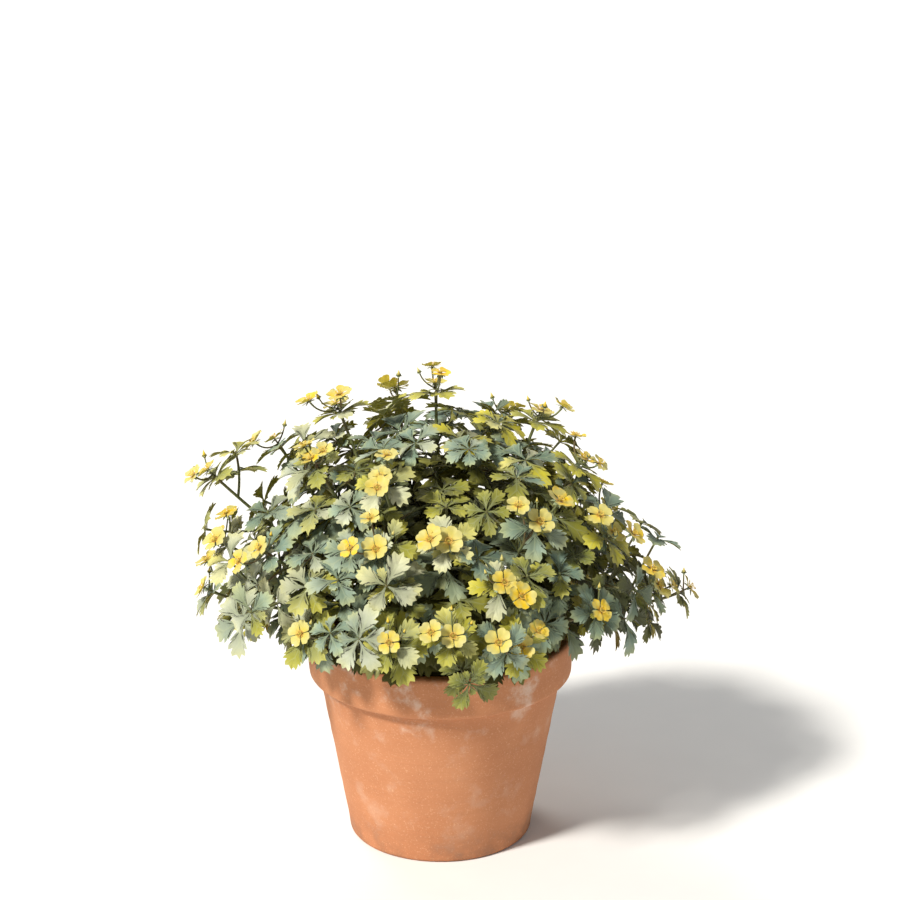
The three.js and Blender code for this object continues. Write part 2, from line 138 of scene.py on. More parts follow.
class Finish:  # a material whose nodes are made as its expressions are read
    def __init__(self, name):
        self.material = bpy.data.materials.new(name)
        self.material.use_nodes = True
        self.tree = self.material.node_tree

    def feed(self, socket, value):
        if isinstance(value, Wire):
            self.tree.links.new(value.socket, socket)
        elif isinstance(value, tuple) and socket.type == "RGBA":
            socket.default_value = (*value, 1)
        else:
            socket.default_value = value

    def node(self, kind, settings, sockets, output=0):
        made = self.tree.nodes.new(kind)
        for name, value in settings.items():
            if name == "stops":
                ramp = made.color_ramp.elements
                while len(ramp) < len(value):
                    ramp.new(0.5)
                for element, (place, colour) in zip(ramp, value):
                    element.position = place
                    element.color = (*colour, 1)
            else:
                setattr(made, name, value)
        for name, value in sockets.items():
            self.feed(made.inputs[name], value)
        return Wire(self, made.outputs[output])

    def layered(self, colour, *layers):  # each layer is its share and its colour
        for share, over in layers:
            colour = self.node("ShaderNodeMix", {"data_type": "RGBA"}, {0: share, 6: colour, 7: over}, 2)
        return colour

    def place(self):
        return self.node("ShaderNodeTexCoord", {}, {}, 3)

    def grain(self, size, detail=3.0, roughness=0.5, place=None):  # noise whose lumps are size mm
        sockets = {"Vector": place or self.place(), "Scale": metre / size}
        sockets.update({"Detail": detail, "Roughness": roughness})
        return self.node("ShaderNodeTexNoise", {}, sockets)

    def cells(self, size):
        return self.node("ShaderNodeTexVoronoi", {}, {"Vector": self.place(), "Scale": metre / size})

    def stored(self, name):  # its three numbers
        stored = self.node("ShaderNodeAttribute", {"attribute_name": name}, {}, 1)
        return [stored.part(index) for index in range(3)]

    def bump(self, height, depth, strength=1.0):  # depth in millimetres
        sockets = {"Height": height, "Distance": depth / metre, "Strength": strength}
        return self.node("ShaderNodeBump", {}, sockets)

    def wear(self, colour, roughness, gloss, normal=None, **sockets):
        sockets.update({"Base_Color": colour, "Roughness": roughness, "Specular_IOR_Level": gloss})
        if normal:
            sockets["Normal"] = normal
        for name, value in sockets.items():
            self.feed(self.tree.nodes["Principled BSDF"].inputs[name.replace("_", " ")], value)
        return self.material


# Every leaf and petal stores "spot" at its points (share of its length, share across, nearness to a
# vein) and "tone" on its faces (a hue, a depth, and 1 on its upper face or 0 below). On a petal both are
# draws. On a leaf both are draws worked by place in toneAt: the depth carries painted shade inside the
# mound and a painted highlight where the light falls, and the hue turns olive inside the mound.
def leafFinish():
    finish = Finish("tormentilLeaf")
    along, _, vein = finish.stored("spot")
    hue, depth, upper = finish.stored("tone")
    mottle = finish.grain(2.2, 4.0, 0.6)
    # The olive and yellow-green end of these greens is partly the leaves' own tone and partly painted
    # light, standing for sun shining through them; olive is also the hue of the painted shade inside the
    # mound.
    greens = (
        (0.0, (0.17, 0.262, 0.212)), (0.35, (0.27, 0.37, 0.29)), (0.58, (0.38, 0.47, 0.33)),
        (0.74, (0.25, 0.265, 0.04)), (0.88, (0.45, 0.42, 0.03)), (1.0, (0.72, 0.62, 0.02)),
    )
    above = finish.layered(
        finish.node("ShaderNodeValToRGB", {"stops": greens}, {0: hue}),
        (depth.between(0.66, 0.95, 0.85), (0.64, 0.66, 0.5)),  # painted highlight: paler where the light falls on it
        (mottle.between(0.4, 0.7, 0.12), (0.38, 0.41, 0.25)),
        (finish.grain(11, 2.0).between(0.35, 0.65, 0.28), (0.1, 0.12, 0.03)),
        (along.between(0.12, 0.9, 0.0, 0.62), (0.06, 0.09, 0.045)),  # painted shade: darker towards its foot, by the hub
        (along.between(0.62, 1.0, 0.34), (0.6, 0.57, 0.16)),  # paler at its tip
        (vein.between(0.75, 1.0, 0.32), (0.4, 0.44, 0.26)),
        (depth.between(0.09, 0.55, 0.0, 0.93), (0.044, 0.044, 0.003)),  # painted shade: dark inside the mound
    )
    # The underside's olive-yellow is partly its own paler colour and partly painted light, standing for sun
    # shining through the leaf.
    below = finish.layered(
        (0.24, 0.22, 0.015),
        (mottle, (0.46, 0.42, 0.05)),
        (vein.between(0.55, 0.95, 0.5), (0.5, 0.49, 0.2)),
        # painted shade: dark inside the mound
        (depth.between(0.05, 0.35, 0.0, 0.75), (0.07, 0.055, 0.004)),
    )
    relief = mottle * 0.35 - vein.between(0.5, 1.0) * upper
    return finish.wear(
        finish.layered(below, (upper, above)), 0.5 + mottle * 0.22, gloss=0.35,
        normal=finish.bump(relief, 0.12, 0.6), Sheen_Weight=0.12, Sheen_Roughness=0.45,
    )


def petalFinish():
    finish = Finish("tormentilPetal")
    along, _, vein = finish.stored("spot")
    _, depth, upper = finish.stored("tone")
    mottle = finish.grain(1.4)
    above = finish.layered(
        (0.77, 0.52, 0.008),
        (depth.between(0.25, 0.75), (0.62, 0.53, 0.1)),
        (finish.grain(5.0, 2.0).between(0.35, 0.65), (0.56, 0.5, 0.15)),
        (along.between(0.3, 1.0, 0.65) * depth, (0.62, 0.58, 0.27)),  # cream where it fades
        (vein * along.between(0.05, 0.6, 0.0, 0.5), (0.74, 0.42, 0.01)),
        (along.between(0.1, 0.26, 0.0, 0.75), (0.46, 0.19, 0.03)),  # orange heart
    )
    below = finish.layered((0.78, 0.6, 0.03), (mottle, (0.84, 0.72, 0.14)))
    return finish.wear(
        finish.layered(below, (upper, above)), 0.42 + mottle * 0.2, gloss=0.3,
        normal=finish.bump(mottle * 0.4 - vein * 0.6, 0.08, 0.6), Sheen_Weight=0.1,
    )


def stalkFinish():
    finish = Finish("tormentilStalk")
    streak = finish.grain(1.1, 4.0)
    flushed = finish.layered(
        (0.085, 0.105, 0.03),
        (streak, (0.2, 0.22, 0.075)),
        (finish.grain(14, 2.0).between(0.42, 0.7, 0.75), (0.13, 0.06, 0.028)),
    )
    relief = finish.bump(streak, 0.1, 0.6)
    return finish.wear(flushed, 0.48 + streak * 0.25, gloss=0.4, normal=relief, Sheen_Weight=0.15)


def heartFinish():  # anthers and carpels
    finish = Finish("bloomHeart")
    dust = finish.grain(0.35, 2.0)
    warm = finish.layered((0.72, 0.42, 0.03), (dust, (0.9, 0.74, 0.22)))
    colour = finish.layered((0.64, 0.52, 0.1), (finish.stored("tone")[2], warm))
    return finish.wear(colour, 0.6 + dust * 0.3, gloss=0.3, normal=finish.bump(dust, 0.08))


def clayFinish():
    finish = Finish("firedClay")
    place = finish.place()
    height = place.part(2)
    grit = finish.grain(0.9, 6.0, 0.65)
    stain = finish.grain(19, 6.0, 0.62)
    squash = finish.node("ShaderNodeVectorMath", {"operation": "MULTIPLY"}, {0: place, 1: (1, 1, 26)})
    rings = finish.grain(60, 4.0, 0.55, squash)
    pits = finish.cells(3.4)
    lime = stain.between(0.52, 0.68) * height.between(0.055, 0.1, 0.6, 0.15)
    damp = height.between(0.0, 0.022, 0.0, 0.55) * stain.between(0.4, 0.65)
    fired = finish.layered(
        (0.44, 0.17, 0.075),
        (finish.grain(34, 5.0, 0.55), (0.66, 0.3, 0.15)),
        (rings.between(0.42, 0.7, 0.08), (0.36, 0.13, 0.055)),
        (grit.between(0.54, 0.7, 0.6), (0.76, 0.45, 0.27)),
        (pits.between(0.0, 0.12, 0.0, 0.35), (0.3, 0.11, 0.05)),
        (lime, (0.76, 0.63, 0.53)),
        (damp, (0.2, 0.1, 0.06)),
    )
    relief = grit * 0.25 + rings * 0.7 + pits.between(0.0, 0.16) * 0.4
    return finish.wear(fired, 0.7 + grit * 0.25, gloss=0.28, normal=finish.bump(relief, 0.5, 0.55))


def soilFinish():
    finish = Finish("pottingCompost")
    crumb = finish.grain(1.6, 6.0, 0.7)
    browns = ((0.3, (0.012, 0.008, 0.006)), (0.55, (0.045, 0.028, 0.017)), (0.8, (0.12, 0.08, 0.05)))
    brown = finish.node("ShaderNodeValToRGB", {"stops": browns}, {0: crumb})
    damp = finish.layered(brown, (finish.grain(24).between(0.4, 0.6, 0.5), (0.014, 0.009, 0.006)))
    relief = finish.bump(crumb + finish.cells(1.1) * 0.4, 1.1, 0.9)
    return finish.wear(damp, 0.72 + crumb * 0.25, gloss=0.25, normal=relief)


def crumbFinish():
    finish = Finish("compostCrumb")
    crumb = finish.grain(1.0, 5.0, 0.7)
    dark = finish.layered((0.02, 0.013, 0.009), (crumb, (0.1, 0.062, 0.037)))
    white = finish.layered((0.62, 0.6, 0.55), (crumb, (0.84, 0.83, 0.8)))
    colour = finish.layered(dark, (finish.stored("tone")[2], white))
    return finish.wear(colour, 0.75 + crumb * 0.2, gloss=0.25, normal=finish.bump(crumb, 0.5))


def floorFinish():
    finish = Finish("paleFloor")
    grain = finish.grain(30)
    pale = finish.layered((0.86, 0.86, 0.86), (grain, (0.9, 0.9, 0.9)))
    return finish.wear(pale, 0.85 + grain * 0.1, gloss=0.2)


finishes = {
    "leaf": leafFinish(), "stalk": stalkFinish(), "petal": petalFinish(), "heart": heartFinish(),
    "clay": clayFinish(), "soil": soilFinish(), "crumb": crumbFinish(),
}
print("finishes made")


# Forms: meshes put together from small numbered shapes
class Form:
    def __init__(self, name, *finishNames):
        self.name, self.finishNames, self.count = name, finishNames, 0
        self.points, self.spots, self.creases = [], [], []
        self.faces, self.tones, self.wears = [], [], []

    # points and spots have a row for each vertex; a tone is for the whole shape, or a row for each face
    def add(self, points, faces, finishName, tone=(0, 0, 1), spots=None, creases=()):
        start = self.count
        self.points.append(np.asarray(points, dtype=float))
        self.spots.append(np.zeros((len(points), 3)) if spots is None else spots)
        self.faces.extend([tuple(corner + start for corner in face) for face in faces])
        self.tones.append(np.broadcast_to(np.asarray(tone, dtype=float), (len(faces), 3)))
        self.wears.extend([self.finishNames.index(finishName)] * len(faces))
        self.creases.extend((a + start, b + start) for a, b in creases)
        self.count += len(points)

    def make(self, replaced=None):
        mesh = bpy.data.meshes.new(self.name)
        mesh.from_pydata((np.concatenate(self.points) / metre).tolist(), [], self.faces)
        mesh.polygons.foreach_set("material_index", np.array(self.wears, dtype=np.int32))
        mesh.polygons.foreach_set("use_smooth", np.ones(len(self.faces), dtype=bool))
        for label, rows, domain in (("spot", self.spots, "POINT"), ("tone", self.tones, "FACE")):
            stored = mesh.attributes.new(label, "FLOAT_VECTOR", domain)
            stored.data.foreach_set("vector", np.concatenate(rows).astype(np.float32).ravel())
        if self.creases:
            creases = {tuple(sorted(pair)) for pair in self.creases}
            sharp = [pair in creases for pair in mesh.edge_keys]
            mesh.attributes.new("sharp_edge", "BOOLEAN", "EDGE").data.foreach_set("value", sharp)
        for name in self.finishNames:
            mesh.materials.append(finishes[name])
        mesh.update()
        handOver(shown(self.name, mesh), replaced)


def lathe(rows, columns, peaked=False):  # quads over rows of points, closed round each row and at both ends
    top = (rows - 1) * columns
    faces = [
        (r * columns + c, r * columns + (c + 1) % columns,
         (r + 1) * columns + (c + 1) % columns, (r + 1) * columns + c)
        for r in range(rows - 1)
        for c in range(columns)
    ]
    faces.append(tuple(range(columns))[::-1])
    if peaked:  # the last row rises to one more point
        faces += [(top + k, top + (k + 1) % columns, top + columns) for k in range(columns)]
    else:
        faces.append(tuple(range(top, top + columns)))
    return faces


# The pot: a thrown clay shape with a thick rim and three drain holes
pot = {
    "height": 105, "rimRadius": 66, "rimHeight": 21, "rimDraft": 1.2, "mouthRadius": 59, "neckRadius": 60,
    "baseRadius": 45, "innerBaseRadius": 38.5, "floor": 6, "edge": 1.5,
    "rounds": (2.0, 2.5, 1.8, 2.6, 2.6, 4.0), "roundSteps": 5, "rowHeight": 4, "segments": 128,
    "wobble": 0.25, "ridges": 0.21, "crease": 42,
}
drain = {"count": 3, "radius": 5, "circle": 23, "turn": 30, "sides": 40}


def potProfile():  # up the outside, over the rim and down the inside
    rimFoot = pot["height"] - pot["rimHeight"]
    corners = [Vector(corner) for corner in (
        (pot["baseRadius"] - 6, 0), (pot["baseRadius"], 0), (pot["neckRadius"], rimFoot),
        (pot["rimRadius"] - pot["rimDraft"], rimFoot), (pot["rimRadius"], pot["height"]),
        (pot["mouthRadius"], pot["height"]), (pot["innerBaseRadius"], pot["floor"]),
        (pot["innerBaseRadius"] - 8, pot["floor"]),
    )]
    rounded = [corners[0]]
    for before, corner, after, radius in zip(corners, corners[1:], corners[2:], pot["rounds"]):
        first = corner + (before - corner).normalized() * radius
        last = corner + (after - corner).normalized() * radius
        for t in np.linspace(0, 1, pot["roundSteps"]):
            rounded.append(first.lerp(corner, t).lerp(corner.lerp(last, t), t))
    rounded.append(corners[-1])
    profile = []
    for (r0, z0), (r1, z1) in zip(rounded, rounded[1:]):
        steps = max(1, round(hypot(r1 - r0, z1 - z0) / pot["rowHeight"]))
        profile += [(mix(r0, r1, k / steps), mix(z0, z1, k / steps)) for k in range(steps)]
    return [*profile, rounded[-1]]


def makePot():
    profile = potProfile()
    points = []
    for radius, height in profile:
        for angle in turns(pot["segments"]):
            ridge = noise.noise(Vector((*polar(0.7, angle), height * pot["ridges"])))
            own = radius - pot["wobble"] * (1 + ridge) * ease(2, 8, height)
            points.append([value / metre for value in (*polar(own, angle), height)])
    mesh = bpy.data.meshes.new("clayPot")
    mesh.from_pydata(points, [], lathe(len(profile), pot["segments"]))
    piece = shown("clayPot", mesh)
    drills = []
    for angle in turns(drain["count"]):
        place = [value / metre for value in polar(drain["circle"], angle + radians(drain["turn"]))]
        bpy.ops.mesh.primitive_cylinder_add(
            vertices=drain["sides"], radius=drain["radius"] / metre, depth=3 * pot["floor"] / metre,
            location=(*place, 0),
        )
        drills.append(bpy.context.object)
        cut = piece.modifiers.new("drain", "BOOLEAN")
        cut.operation = "DIFFERENCE"
        cut.object = drills[-1]
    pierced = bpy.data.meshes.new_from_object(piece.evaluated_get(bpy.context.evaluated_depsgraph_get()))
    piece.modifiers.clear()
    for drill in drills:
        bpy.data.objects.remove(drill)
    pierced.name = "clayPot"
    pierced.materials.clear()
    pierced.materials.append(finishes["clay"])
    pierced.shade_smooth()
    pierced.set_sharp_from_angle(angle=radians(pot["crease"]))
    piece.data = pierced
    handOver(piece, "clay_pot")


makePot()
print("pot made")


# The compost: an uneven surface of lumps, with loose crumbs and a few white grains on it
soil = {"top": 93, "lump": 1.6, "crumb": 0.9, "gap": 0.3, "rings": 46, "sideRows": 8, "around": 110}
crumbs = {
    "count": 460, "size": (0.5, 1.9), "uneven": (0.7, 1.25), "across": (0.6, 1), "tall": (0.5, 0.85),
    "sunk": 0.25, "perlite": 0.13, "margin": 2.5,
}
ground = up * soil["top"]  # the middle of its surface


def innerRadiusAt(height):
    share = (height - pot["floor"]) / (pot["height"] - pot["edge"] - pot["floor"])
    return mix(pot["innerBaseRadius"], pot["mouthRadius"], share)


def soilHeight(x, y):
    rim = innerRadiusAt(soil["top"]) - soil["gap"]
    wave = sin(x * 0.21 + 1.3) * cos(y * 0.17) + 0.6 * sin(x * 0.09 - y * 0.26)
    inner = 1 - ease(0.8, 1.0, hypot(x, y) / rim)
    crumb = noise.fractal(Vector((x, y, 0)) * 0.28, 0.9, 2.1, 4) * soil["crumb"]
    return soil["top"] + soil["lump"] * wave * inner + crumb * (0.35 + 0.65 * inner)


def makeSoil():
    form = Form("pottingCompost", "soil")
    rim = innerRadiusAt(soil["top"]) - soil["gap"]
    bottom = pot["floor"] + soil["gap"]
    points = []
    for k in range(soil["sideRows"], 0, -1):
        height = mix(soil["top"], bottom, k / soil["sideRows"])
        radius = innerRadiusAt(height) - soil["gap"]
        points += [(*polar(radius, angle), height) for angle in turns(soil["around"])]
    for k in range(soil["rings"], 0, -1):
        for angle in turns(soil["around"]):
            x, y = polar(rim * k / soil["rings"], angle)
            points.append((x, y, soilHeight(x, y)))
    points.append((0, 0, soilHeight(0, 0)))
    form.add(points, lathe(soil["sideRows"] + soil["rings"], soil["around"], True), "soil")
    form.make("potting_soil")


def makeCrumbs():
    form = Form("compostCrumbs", "crumb")
    lump = bmesh.new()
    bmesh.ops.create_icosphere(lump, subdivisions=1, radius=1)
    lump.verts.index_update()
    shape = np.array([tuple(vertex.co) for vertex in lump.verts])
    faces = [tuple(vertex.index for vertex in face.verts) for face in lump.faces]
    lump.free()
    rim = innerRadiusAt(soil["top"]) - crumbs["margin"]
    for k in range(crumbs["count"]):
        radius = rim * sqrt((k + 0.5) / crumbs["count"])
        x, y = polar(radius, k * goldenAngle + draw(k, 1))
        size = mix(*crumbs["size"], draw(k, 2) ** 3)
        uneven = np.array([vary(crumbs["uneven"], k, 10 + i) for i in range(len(shape))])
        squash = np.array([1, vary(crumbs["across"], k, 3), vary(crumbs["tall"], k, 4)])
        white = 1 if draw(k, 5) < crumbs["perlite"] else 0
        place = np.array([x, y, soilHeight(x, y) + size * crumbs["sunk"]])
        form.add(shape * uneven[:, None] * squash * size + place, faces, "crumb", (0, 0, white))
    form.make()


makeSoil()
makeCrumbs()
print("compost made")


# Blades: a leaflet or petal is worked out once, in shares of its length, then bent into place many times.
# Its two faces share their outline. place(row, share) gives (x, y, height, vein) at a row from the base to
# the end and a share across, from -1 to 1, and a pointed blade ends in one point.
def bladeShape(rows, shares, place, thickness, pointed):
    points, faces, uppers = [], [], []
    last = rows - 1

    def put(row, share, side):
        x, y, height, vein = place(row, share)
        half = side * thickness * (1 - share * share) * (1 - 0.6 * x)
        points.append((x, y, height + half, share, vein))
        return len(points) - 1

    upper = [[put(row, share, 0 < row < last) for share in shares] for row in range(last)]
    upper.append([put(last, 0, 0)] * len(shares) if pointed else [put(last, share, 0) for share in shares])
    lower = [list(row) for row in upper]
    for row in range(1, last):
        lower[row][1:-1] = [put(row, share, -1) for share in shares[1:-1]]
    for side, sheet in ((1, upper), (0, lower)):
        for near, far in zip(sheet, sheet[1:]):
            for a, b, c, d in zip(near, near[1:], far, far[1:]):
                for triangle in ((a, c, d), (a, d, b)):
                    if len(set(triangle)) == 3:
                        faces.append(triangle[::-1] if side else triangle)
                        uppers.append(side)
    creases = [(near[j], far[j]) for near, far in zip(upper, upper[1:]) for j in (0, -1)]
    creases += zip(upper[0], upper[0][1:])
    if not pointed:
        creases += zip(upper[last], upper[last][1:])
    return np.array(points), faces, np.array(uppers), creases


leaf = {
    "length": 18, "growth": 1.15, "hub": 1, "droop": 0.34, "fold": 0.16, "lift": (10, 26), "width": 0.7,
    "teeth": (0.5, 0.88), "puff": 0.012, "thickness": 0.01,
    "shares": (-1, -0.68, -0.33, 0, 0.33, 0.68, 1), "youngShares": (-1, -0.55, 0, 0.55, 1),
}


# A toothed leaflet: a wedge that is widest past its middle, with sharp teeth that point forwards and a
# side vein to each. A station is (x on the midrib, x and y on the edge, vein).
def leafletShape(teeth, cut, uneven, shares):
    def halfWidth(x):
        return 0.5 * leaf["width"] * max(sin(pi * x ** 1.7), 0) ** 0.85

    stations = [(0.0, 0.0, 0.024, 0.0), (0.05, 0.15, 0.05, 0.0), (0.13, 0.32, 0.13, 0.1)]
    before = 0.38
    for i in range(teeth):
        x = mix(*leaf["teeth"], i / (teeth - 1)) + uneven * sin(3 * i + 1)
        wide = halfWidth(x)
        rib = max(x - 1.15 * wide - 0.03, 0.17)
        edge = mix(before, x, 0.7)
        stations.append((rib - 0.035, edge, halfWidth(edge) * 0.95, 0.1))
        stations.append((rib, x + 0.05, wide * 1.05, 1.0))
        stations.append((rib + 0.045, x + 0.005, wide - cut, 0.05))
        before = x
    stations += [(0.9, 0.955, 0.03, 0.3), (1.0, 1.0, 0.0, 1.0)]
    for k in range(1, len(stations)):  # no station stands behind the one before it
        ahead = max(stations[k][0], stations[k - 1][0] + 0.012)
        stations[k] = (min(ahead, 1.0), *stations[k][1:])

    def place(row, share):
        rib, x, y, vein = stations[row]
        out = abs(share)
        x += 0.35 * uneven * copysign(out, share)
        puff = sin(pi * min(out * 1.15, 1)) * (leaf["puff"] - 0.017 * vein) * min(y / 0.2, 1)
        return mix(rib, x, out), share * y, puff - 0.016 * (1 - out) ** 2, vein if out else 1.0

    return bladeShape(len(stations), shares, place, leaf["thickness"], True)


bloom = {
    "radius": 6.6, "hub": 0.9, "cup": (6, 22), "petalRows": 8, "notch": 0.8, "thickness": 0.012,
    "shares": (-1, -0.8, -0.5, -0.2, 0, 0.2, 0.5, 0.8, 1), "sepalRows": 5, "sepalWidth": 0.2,
}


# A petal: a narrow foot that widens to two round lobes
def petalShape(wave):
    def place(row, share):
        u = row / (bloom["petalRows"] - 1)
        lobes = 1 - (1 - bloom["notch"]) * 0.62 * exp(-((share / 0.2) ** 2)) - 0.3 * abs(share) ** 3
        x = 0.03 + 0.97 * u * mix(1, lobes, u)
        y = share * (0.09 + 0.43 * sin(u * pi * 0.6) ** 1.2)
        frill = wave * sin(share * 7.5 + wave * 60) * u * u
        height = frill - 0.05 * sin(pi * u) * (1 - abs(share)) + 0.05 * share * share * u
        return x, y, height, 0.5 + 0.5 * cos(share * pi * 7)

    return bladeShape(bloom["petalRows"], bloom["shares"], place, bloom["thickness"], False)


def sepalShape():  # a small pointed scale
    def place(row, share):
        x = row / (bloom["sepalRows"] - 1)
        y = share * bloom["sepalWidth"] * sin(pi * min(x * 0.82 + 0.16, 1))
        return x, y, 0, 1 - abs(share)

    return bladeShape(bloom["sepalRows"], (-1, 0, 1), place, 0.02, True)


kinds = ((3, 0.14, 0.02), (4, 0.11, -0.015), (3, 0.15, -0.02), (4, 0.12, 0.015))  # teeth, cut, uneven
leafletBlades = [leafletShape(*kind, leaf["shares"]) for kind in kinds]
youngBlades = [leafletShape(3, 0.14, uneven, leaf["youngShares"]) for uneven in (0.02, -0.02)]
petalBlades = [petalShape(wave) for wave in (0.02, 0.035)]
sepalBlade = sepalShape()


class Spot:  # where a blade starts: its outward way, its sideways way, and the stalk's own way
    def __init__(self, start, out, axis):
        self.start = np.array(start)
        self.out = np.array(out)
        self.axis = np.array(axis)
        self.along = np.cross(self.axis, self.out)

    def turned(self, angle, down):  # the same whorl, seen from another side and a little lower
        way = fan(self.out, self.along, angle)
        centre = self.start - self.out * 0.8
        return Spot(centre + way * 0.8 - self.axis * down, way, self.axis)


def addBlade(
    form, shape, spot, length, lift, tone, finishName="leaf", droop=0, fold=0, twist=0, ripple=0, width=1
):
    points, faces, uppers, creases = shape
    hue, depth = tone
    x, y = points[:, 0] * length, points[:, 1] * length * width
    rise = x * sin(lift) - droop * x * x / length + fold * np.abs(y)
    rise += points[:, 2] * length + twist * x * y / length
    rise += ripple * length * np.sin(points[:, 0] * 9 + hue * 30) * np.abs(points[:, 3])
    ways = np.array([spot.out, spot.along, spot.axis])
    placed = spot.start + np.column_stack([x * cos(lift), y, rise]) @ ways
    tones = np.column_stack([np.full(len(faces), hue), np.full(len(faces), depth), uppers])
    spots = np.column_stack([points[:, 0], np.abs(points[:, 3]), points[:, 4]])
    form.add(placed, faces, finishName, tones, spots, creases)


# The plant's build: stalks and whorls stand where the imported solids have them
class Curve:
    def __init__(self, *controls):
        self.controls = controls
        steps = [self.point(i / 200) for i in range(201)]
        self.length = sum((b - a).length for a, b in zip(steps, steps[1:]))

    def reduced(self, t, keep):
        points = self.controls
        while len(points) > keep:
            points = [a.lerp(b, t) for a, b in zip(points, points[1:])]
        return points

    def point(self, t):
        return self.reduced(t, 1)[0]

    def tangent(self, t):
        near, far = self.reduced(t, 2)
        return (far - near).normalized()

    def beyond(self, t):  # before 0 and past 1 the curve runs on straight
        inside = min(max(t, 0), 1)
        axis = self.tangent(inside)
        return self.point(inside) + axis * (t - inside) * self.length, axis

    def across(self):
        across = self.tangent(0).cross(self.tangent(1))
        if across.length < 0.02:
            across = self.tangent(0).cross(Vector((1, 0.2, 0)))
        return across.normalized()


class Ring:  # the corners of a stalk's section and the ways out between them
    def __init__(self, curve, at, turn, sides, radius):
        self.centre, self.axis = curve.beyond(at)
        across = curve.across()
        self.right = (across - self.axis * across.dot(self.axis)).normalized()
        self.front = self.axis.cross(self.right)
        self.step = 2 * pi / sides
        self.turn = turn
        self.corners = [self.centre + self.way(turn + k * self.step) * radius for k in range(sides)]

    def way(self, angle):
        return fan(self.right, self.front, angle)

    def out(self, side):
        return self.way(self.turn + (side + 0.5) * self.step)


class Whorl:
    def __init__(self, stalk, at, turn, size, plain, hub):
        half = hub / 2 / stalk.curve.length
        self.stalk, self.at, self.size, self.plain = stalk, at, size, plain
        self.lower = stalk.ring(at - half, turn)
        self.upper = stalk.ring(at + half, turn)
        self.grown = {}

    def spot(self, side):
        second = (side + 1) % self.stalk.sides
        corners = [ring.corners[k] for ring in (self.upper, self.lower) for k in (side, second)]
        return Spot(sum(corners, Vector()) / 4, self.upper.out(side), self.upper.axis)


class Stalk:
    def __init__(self, curve, sides, radii):
        self.curve, self.sides, self.radii = curve, sides, radii
        self.whorls = []

    def radiusAt(self, t):
        return mix(*self.radii, min(max(t, 0), 1))

    def ring(self, at, turn=0.0):
        return Ring(self.curve, at, turn, self.sides, self.radiusAt(at))

    def grow(self, at, turn, size, plain, hub=leaf["hub"]):
        self.whorls.append(Whorl(self, at, turn, size, plain, hub))


mound = {"size": (112, 94, 128), "tipUp": 0.3}
stem = {
    "sides": 5, "radii": (1.2, 0.85), "depth": 12, "crown": 6, "rootSpread": (0.375, 0.135),
    "leaving": 0.6, "bow": (0.42, 0.34),
    "whorls": 3, "lowest": (0.46, 0.54), "shift": (-0.08, 0.08), "whorlSize": (0.92, 1.06),
}
sideShoot = {
    "sides": 4, "radii": (0.8, 0.64), "reach": 32, "size": (0.85, 1.15), "lowest": (0.6, 0.68),
    "apart": 0.2, "shorter": 0.4, "inner": 0.58, "whorlSize": (0.85, 1.05),
}
spray = {
    "sides": 4, "radius": 0.62, "gap": 0.3, "neck": (4, 6.5), "fork": 0.3, "pedicel": 14,
    "apart": (140, 180), "reach": (0.75, 1.15), "neckBloom": (0.85, 1.15), "sideBloom": (0.75, 1.05),
}

# For each stem: where its topmost leaves stand from the middle of the soil's surface, its blooms, and
# which way its side shoots lean, in degrees round the stem
stems = (
    ((-108, 0, 90), 2, (-70, 120)), ((-102, -12, 60), 3, (75,)), ((-110, -8, 34), 2, (40,)),
    ((-62, -64, 34), 1, (60,)), ((-80, -42, 66), 2, (-80,)), ((-22, -84, 38), 1, (85,)),
    ((-28, -68, 76), 3, (100, -70)), ((6, -86, 42), 2, (-70,)), ((36, -84, 36), 3, (80,)),
    ((28, -74, 62), 2, (-90,)), ((72, -56, 42), 1, (130,)), ((100, -26, 42), 3, (60,)),
    ((116, -4, 32), 1, (75,)), ((78, -36, 72), 3, (-80,)), ((66, -8, 98), 3, (70,)),
    ((46, 0, 118), 2, (-60,)), ((4, -69, 80), 2, (90,)), ((-2, 14, 128), 3, (180,)),
    ((-48, 8, 120), 3, (-90,)), ((-58, -20, 102), 3, (80,)), ((-26, -48, 102), 3, (-75,)),
    ((44, -56, 84), 3, (70,)), ((-78, 22, 98), 2, (-80, 80)), ((-21, 50, 113), 2, (75, -80)),
    ((32, 50, 102), 2, (-70, 80)), ((80, 40, 56), 2, (80, -80)), ((16, 86, 44), 2, (-80,)),
    ((-62, 64, 36), 2, (70,)),
)


def outwardAt(point):  # the way out of the mound's surface, tipped up a little
    out = Vector([value / size ** 2 for value, size in zip(point, mound["size"])])
    return (out.normalized() + up * mound["tipUp"]).normalized()


def stemAt(index, tip, turn):
    tip = Vector(tip)
    flat = Vector((tip.x, tip.y, 0))
    spread = flat.length * mix(*stem["rootSpread"], tip.z / mound["size"][2])
    root = flat.normalized() * (stem["crown"] + spread)
    root.rotate(Matrix.Rotation(radians(turn), 3, "Z"))
    span = (tip - root).length
    leaving = (flat * stem["leaving"] / mound["size"][0] + up).normalized() * stem["bow"][0] * span
    arriving = outwardAt(tip) * stem["bow"][1] * span
    controls = [point + ground for point in (root, root + leaving, tip - arriving, tip)]
    stalk = Stalk(Curve(*controls), stem["sides"], stem["radii"])
    stalk.low = -stem["depth"] / stalk.curve.length  # its foot in the soil
    lowest = vary(stem["lowest"], index, 1)
    last = stem["whorls"] - 1
    for i in range(stem["whorls"]):
        shift = vary(stem["shift"], index, 2 + i) if i < last else 0
        size = vary(stem["whorlSize"], index, 10 + i) * leaf["growth"] ** (last - i)
        stalk.grow(mix(lowest, 1, i / last) + shift, i * pi / stem["sides"], size, i == 0)
    return stalk


